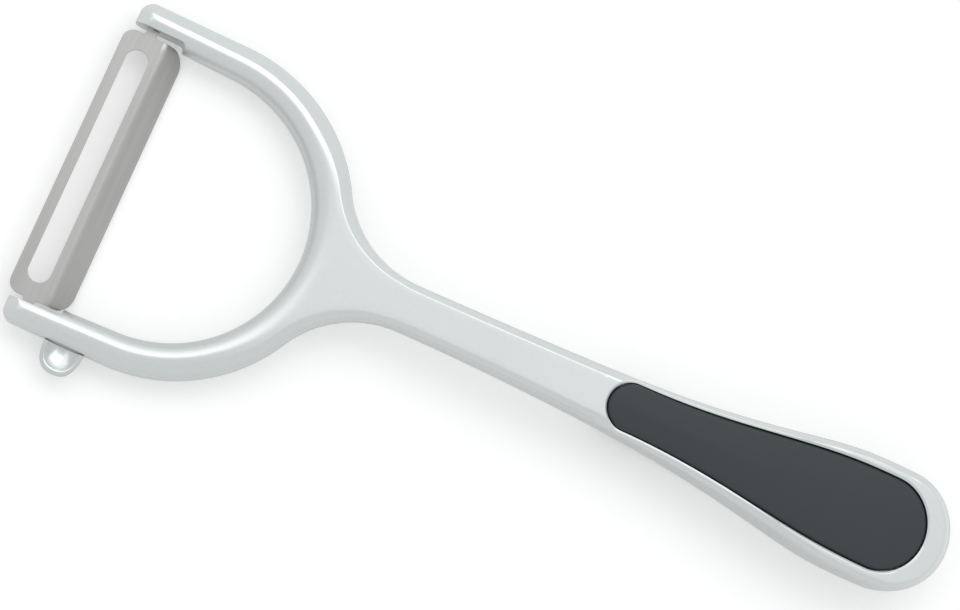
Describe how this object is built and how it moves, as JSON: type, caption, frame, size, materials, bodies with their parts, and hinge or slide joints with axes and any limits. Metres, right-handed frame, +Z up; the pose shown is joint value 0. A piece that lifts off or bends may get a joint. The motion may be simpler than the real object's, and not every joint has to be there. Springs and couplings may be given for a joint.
{
  "type": "vegetable peeler",
  "caption": "Vegetable peeler with a satin cast bow and handle, a swivelling slotted steel blade across the bow, a small eye remover on one arm and dark soft grips let into the handle.",
  "frame": {"origin": "Middle of the flat on the back of the handle, where it rests on a table.", "axes": "+X runs from the head to the end of the handle, +Y across the head, away from the arm with the eye remover, and +Z up out of the face of the handle."},
  "size_m": [0.1841, 0.0718, 0.0134],
  "materials": {
    "satin_chrome": "satin plated die casting",
    "blade_steel": "brushed along the blade",
    "bright_steel": "polished",
    "soft_grip": "matte",
    "carrier_plastic": "moulded"
  },
  "bodies": {
    "handle": {"frame_casting": "satin_chrome", "eye_remover": "bright_steel", "front_grip_pad": "soft_grip", "back_grip_pad": "soft_grip", "front_grip_carrier": "carrier_plastic", "back_grip_carrier": "carrier_plastic"},
    "blade": {"swivel_blade": "blade_steel"}
  },
  "joints": [
    {"name": "blade_swivel", "type": "hinge", "parent": "handle", "child": "blade", "pos_m": [-0.1565, 0, 0.0042], "axis": [0, -1, 0], "range_deg": [0, 50]}
  ]
}
